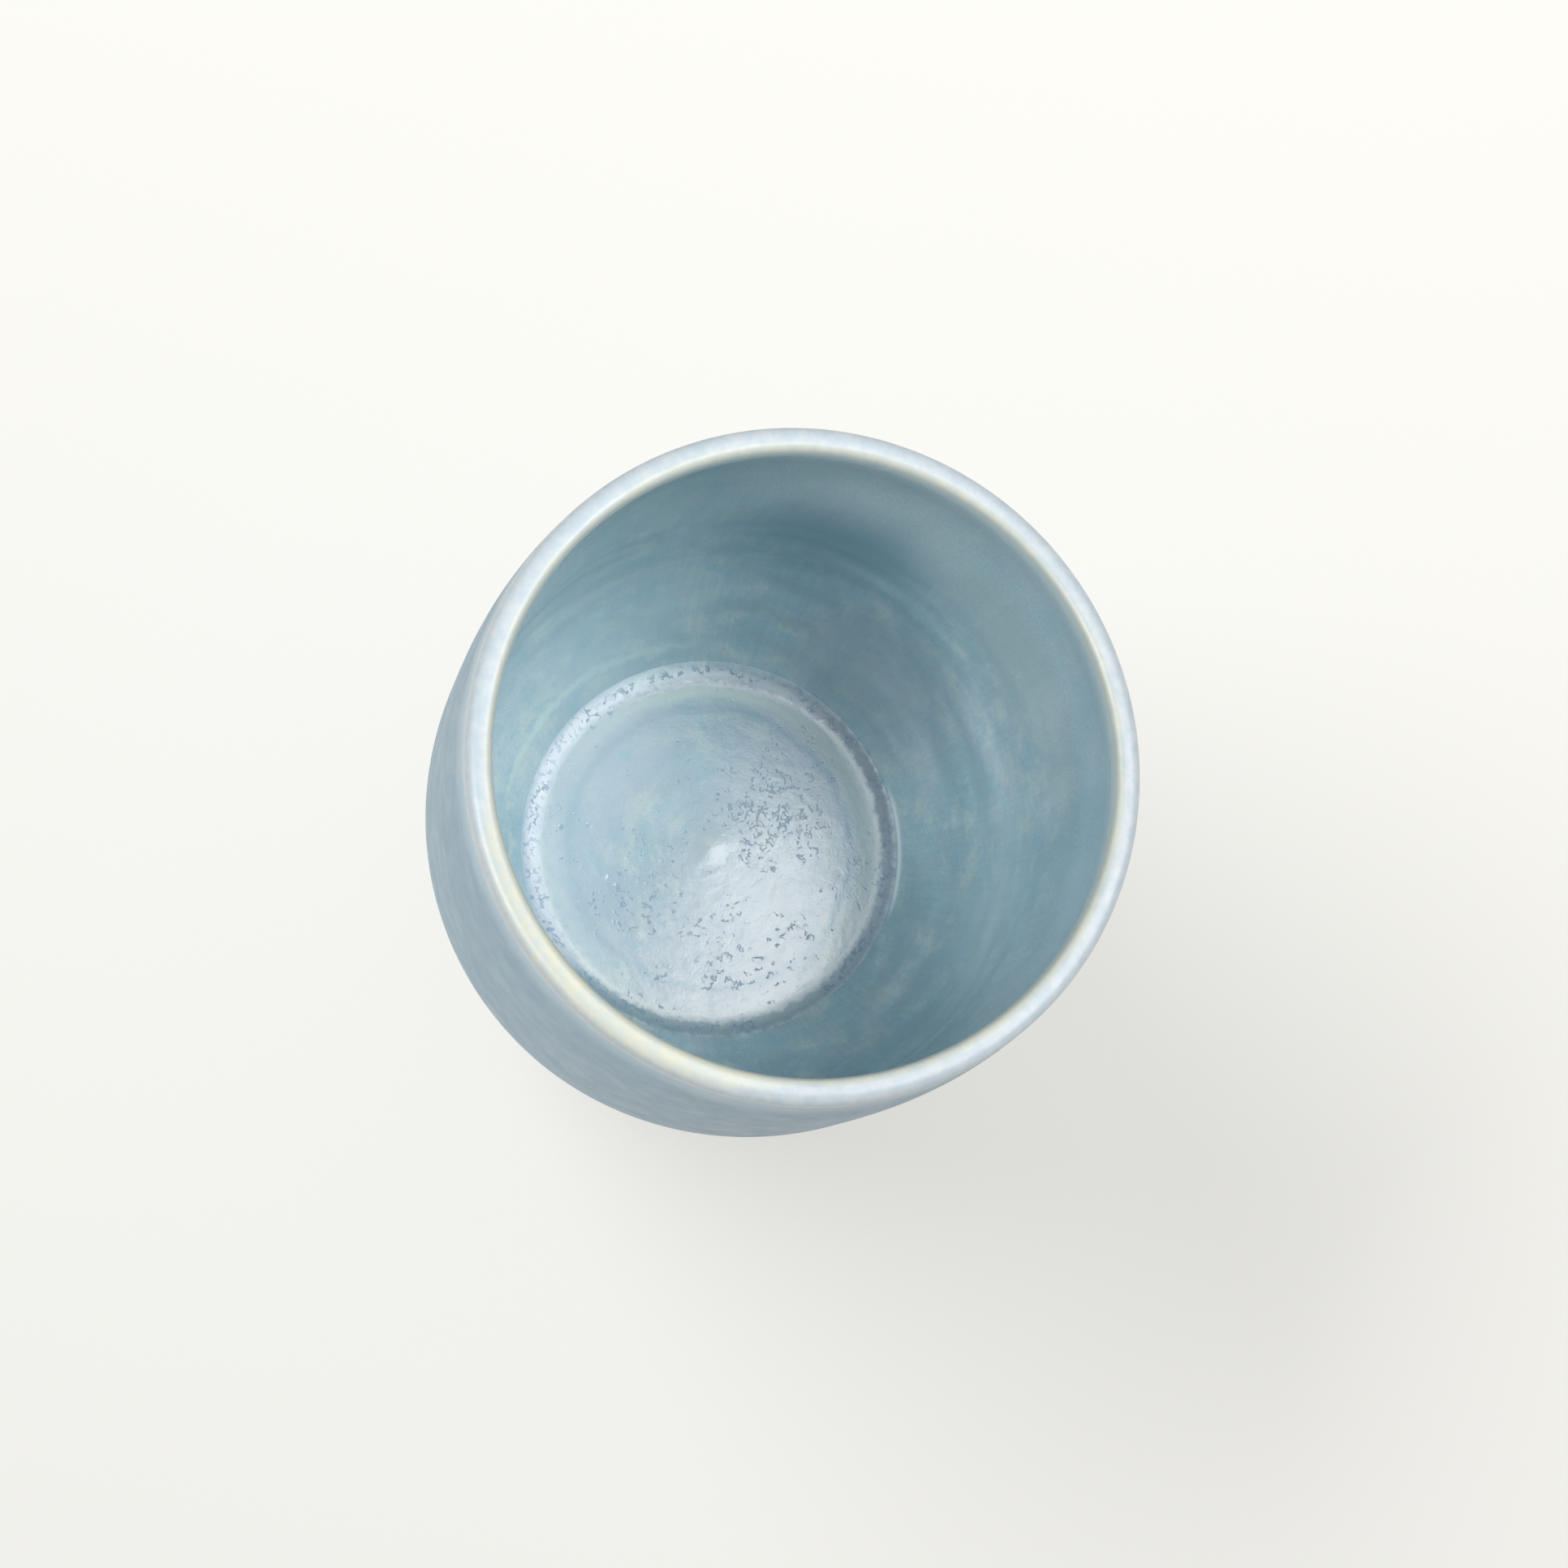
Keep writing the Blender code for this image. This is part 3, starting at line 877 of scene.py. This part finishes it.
# Outer glaze
# A smoother grey-blue satin glaze that the cup was dipped in, held by its foot. It meets the liner just under
# the lip, and stops above the foot ring in a rolled edge that wanders a little, as dipped edges do.
GLAZE_LINE = 0.0048
BEAD_WIDTH = 0.0044
BEAD_HEIGHT = 0.00012
EDGE_REACH = 0.008
EDGE_WANDER = 0.0009

dipped = [crossing(falling, seam_height)]
dipped += [place for place in falling if GLAZE_LINE < place.y < seam_height]
dipped.append(crossing(falling, GLAZE_LINE))
dipped_run = lengths(dipped)
last_run = dipped_run[-1]
rolled = []
for index, place in enumerate(dipped):
    left = last_run - dipped_run[index]
    thickness = GLAZE_THICKNESS
    if left < BEAD_WIDTH:
        thickness += BEAD_HEIGHT * swell(left / BEAD_WIDTH)
    rolled.append(place + (GLAZE_GAP + thickness) * sideways(dipped, index))
across_end = sideways(dipped, len(dipped) - 1)
along_end = point(across_end.y, -across_end.x)
end = dipped[-1]
roll_steps = 8
roll = []
for step in range(1, roll_steps + 1):
    turn = math.radians(90 * step / roll_steps)
    out = GLAZE_GAP + GLAZE_THICKNESS * math.cos(turn)
    roll.append(end + out * across_end + GLAZE_THICKNESS * math.sin(turn) * along_end)
outer_face = rolled + roll
outer_run = lengths(outer_face, liner_run[-1])
outer_back = offset(dipped, GLAZE_GAP)[::BACK_SKIP]
outer_section = outer_face + outer_back[::-1] + outer_face[:1]
seam_run = liner_run[-1]
tail = [0.0] * (len(outer_section) - len(outer_face))
near_edge = [max(0.0, 1 - (outer_run[-1] - run) / EDGE_REACH) for run in outer_run]
back_edge = [max(0.0, 1 - (last_run - run) / EDGE_REACH) for run in dipped_run[::BACK_SKIP]][::-1]
outer_marks = {
    "run": outer_run + tail,
    "flow": outer_run + tail,
    "edge": [share * share for share in near_edge] + [share * share for share in back_edge] + [0.0],
}


def outer_finish():
    """The outer glaze: even grey-blue, icy under the lip and paler at its rolled edge."""
    material, tree, shader, marks, pattern, _ = glaze_coat(
        "outer_satin",
        ("run", "flow"),
        body=(0.238, 0.367, 0.458, 1),
        deep=(0.217, 0.336, 0.43, 1),
        pale_fleck=(0.285, 0.412, 0.48, 1),
        blue_fleck=(0.20, 0.337, 0.452, 1),
        flecks=0.2,
        streaks=0.08,
        pits=NO_PITS,
        smoothest=0.34,
        roughest=0.46,
    )
    from_seam = calc(tree, "SUBTRACT", marks["run"], seam_run)
    icy = step_between(tree, from_seam, -0.0005, 0.0062, 0.95, 0)
    colour = blend(tree, icy, pattern.outputs["Colour"], (0.41, 0.545, 0.635, 1))
    to_edge = calc(tree, "SUBTRACT", outer_run[-1], marks["run"])
    thin = step_between(tree, to_edge, 0.0002, 0.0014, 0.7, 0)
    colour = blend(tree, thin, colour, (0.58, 0.56, 0.46, 1))
    tree.links.new(colour, shader.inputs["Base Color"])
    tree.links.new(pattern.outputs["Roughness"], shader.inputs["Roughness"])
    shader.inputs["Specular IOR Level"].default_value = 0.35
    return material


outer_coat = turned(
    "outer_coat",
    outer_section,
    outer_marks,
    outer_finish(),
    **{"Edge Wander": EDGE_WANDER},
)
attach(outer_coat, "root")
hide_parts("outer_glaze")

# Studio
# A pale sheet under the cup. A large soft lamp, a smaller one across from it and a weak one overhead light
# the cup, a low one lights the sheet alone, and the camera looks down into the cup from near its axis.
SHEET_COLOUR = (0.93, 0.925, 0.89, 1)
SHEET_SIZE = 6.0
AMBIENT = 0.10


def in_view(tree):
    """1 for what the camera sees, straight or in a glossy or clear surface, and 0 for the light it gives."""
    path = add(tree, "ShaderNodeLightPath").outputs
    seen = calc(tree, "MAXIMUM", path["Is Camera Ray"], path["Is Glossy Ray"])
    return calc(tree, "MAXIMUM", seen, path["Is Transmission Ray"])


def pale_sheet():
    """A pale sheet that the camera sees nearly white, and that still takes the cup's shadow."""
    material, tree, shader = finish("pale_sheet")
    shader.inputs["Base Color"].default_value = SHEET_COLOUR
    shader.inputs["Roughness"].default_value = 0.9
    shader.inputs["Specular IOR Level"].default_value = 0.0
    at = add(tree, "ShaderNodeTexCoord").outputs["Object"]
    # The glow that the camera sees is painted darker towards the near side and lighter towards the far side,
    # a painted gradient of light
    across = vector_calc(tree, "DOT_PRODUCT", at, (-0.39, 0.92, 0.0))
    far = step_between(tree, across, -0.30, 0.30)
    tone = blend(tree, far, (0.88, 0.873, 0.835, 1), (1.135, 1.125, 1.072, 1))
    distant = step_between(tree, vector_calc(tree, "LENGTH", at), 0.5, 1.6)
    tone = blend(tree, distant, tone, SHEET_COLOUR)
    glow = add(tree, "ShaderNodeEmission", {"Color": tone, "Strength": 1.0})
    share = calc(tree, "MULTIPLY_ADD", distant, 0.35, 0.45)
    share = calc(tree, "MULTIPLY_ADD", in_view(tree), share, 0.2)
    both = add(tree, "ShaderNodeMixShader", {0: share, 1: shader.outputs[0], 2: glow.outputs[0]})
    tree.links.new(both.outputs[0], tree.nodes["Material Output"].inputs["Surface"])
    return material


sheet_mesh = bpy.data.meshes.new("sheet")
half = SHEET_SIZE / 2
corners = [(-half, -half, 0), (half, -half, 0), (half, half, 0), (-half, half, 0)]
sheet_mesh.from_pydata(corners, [], [(0, 1, 2, 3)])
sheet_mesh.materials.append(pale_sheet())
sheet = bpy.data.objects.new("sheet", sheet_mesh)
bpy.context.scene.collection.objects.link(sheet)

world = bpy.data.worlds.new("studio")
world.use_nodes = True
bpy.context.scene.world = world
background = world.node_tree.nodes["Background"]
background.inputs["Color"].default_value = SHEET_COLOUR
strength = calc(world.node_tree, "MULTIPLY_ADD", in_view(world.node_tree), 1 - AMBIENT, AMBIENT)
world.node_tree.links.new(strength, background.inputs["Strength"])


def soft_lamp(name, lean, bearing, wide, tall, level, lit, distance=0.75):
    """A soft lamp aimed at the cup. Its lean, bearing and half widths, wide and tall, are in degrees."""
    lamp = bpy.data.lights.new(name, "AREA")
    lamp.shape = "ELLIPSE"
    lamp.size = 2 * distance * math.tan(math.radians(wide))
    lamp.size_y = 2 * distance * math.tan(math.radians(tall))
    lamp.energy = level * (math.pi * distance) ** 2
    lean, bearing = math.radians(lean), math.radians(bearing)
    away = Vector((math.sin(lean) * math.cos(bearing), math.sin(lean) * math.sin(bearing), math.cos(lean)))
    holder = bpy.data.objects.new(name, lamp)
    holder.location = Vector((0, 0, CUP_HEIGHT / 2)) + away * distance
    holder.rotation_mode = "QUATERNION"
    holder.rotation_quaternion = away.to_track_quat("Z", "Y")
    bpy.context.scene.collection.objects.link(holder)
    receivers = bpy.data.collections.new(name + "_lights")
    for piece in lit:
        receivers.objects.link(piece)
    holder.light_linking.receiver_collection = receivers


cup = (clay_body, liner_coat, outer_coat)
soft_lamp("key_lamp", lean=26.3, bearing=38.3, wide=19, tall=19, level=0.76, lit=cup)
soft_lamp("fill_lamp", lean=44, bearing=243, wide=12, tall=12, level=0.57, lit=cup)
soft_lamp("top_lamp", lean=12, bearing=100, wide=22, tall=22, level=0.20, lit=(*cup, sheet))
soft_lamp("sheet_lamp", lean=50, bearing=197, wide=26, tall=10, level=1.06, lit=(sheet,), distance=3.0)

RIM_RADIUS = 0.0425
RIM_HEIGHT = 0.0826
IMAGE_WIDTH = 1932
VIEW_LEAN = math.radians(15)
VIEW_TURN = math.radians(48.68)
VIEW_DISTANCE = 9 * RIM_RADIUS
RIM_RADIUS_IN_IMAGE = 424.2
RIM_CENTRE_IN_IMAGE = (997.3, 937.5)
SENSOR_WIDTH = 36
camera = bpy.data.objects.new("camera", bpy.data.cameras.new("camera"))
bpy.context.scene.collection.objects.link(camera)
away = Vector((0, -math.sin(VIEW_LEAN), math.cos(VIEW_LEAN)))
aim = away.to_track_quat("Z", "Y").to_matrix() @ Matrix.Rotation(VIEW_TURN, 3, "Z")
camera.matrix_world = Matrix.Translation(Vector((0, 0, RIM_HEIGHT)) + away * VIEW_DISTANCE) @ aim.to_4x4()
camera.data.sensor_width = SENSOR_WIDTH
camera.data.lens = SENSOR_WIDTH * RIM_RADIUS_IN_IMAGE * VIEW_DISTANCE / RIM_RADIUS / IMAGE_WIDTH
camera.data.shift_x = 0.5 - RIM_CENTRE_IN_IMAGE[0] / IMAGE_WIDTH
camera.data.shift_y = RIM_CENTRE_IN_IMAGE[1] / IMAGE_WIDTH - 0.5
bpy.context.scene.camera = camera
bpy.context.scene.view_settings.view_transform = "Standard"
